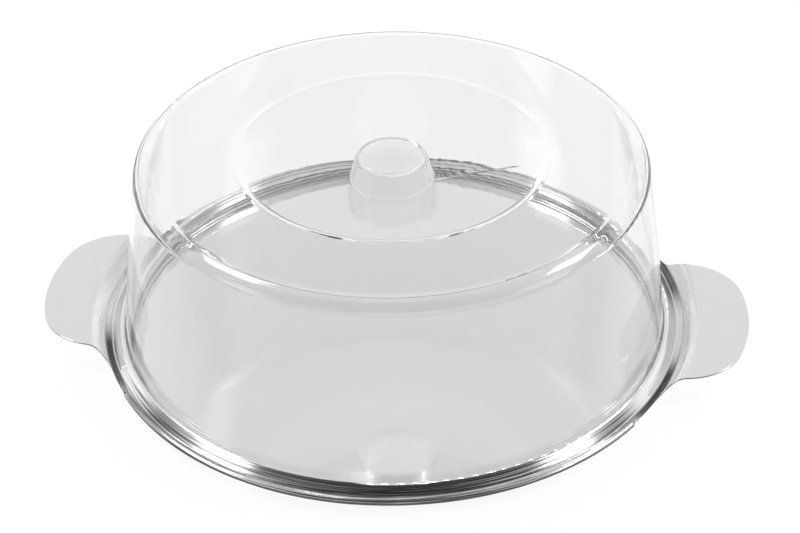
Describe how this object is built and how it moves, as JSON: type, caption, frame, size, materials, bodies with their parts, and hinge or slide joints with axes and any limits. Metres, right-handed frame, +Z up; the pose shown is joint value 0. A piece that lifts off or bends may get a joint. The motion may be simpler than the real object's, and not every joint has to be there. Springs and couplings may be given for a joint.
{
  "type": "cake stand with dome",
  "caption": "Low round cake tray of polished steel with two lobe handles and a raised ring, under a clear lift-off cover with a sunk crown and knob.",
  "frame": {"origin": "on the table under the middle of the round tray", "axes": "+X along the two handles, +Y across them, +Z up out of the table"},
  "size_m": [0.3668, 0.3, 0.106],
  "materials": {
    "polished_steel": "mirror polished stainless steel",
    "clear_plastic": "clear, glossy, injection moulded"
  },
  "bodies": {
    "tray": {"tray": "polished_steel"},
    "dome_cover": {"dome_cover": "clear_plastic"}
  },
  "joints": [
    {"name": "dome_lift", "type": "slide", "parent": "tray", "child": "dome_cover", "axis": [0, 0, 1], "range_m": [0, 0.12]}
  ]
}
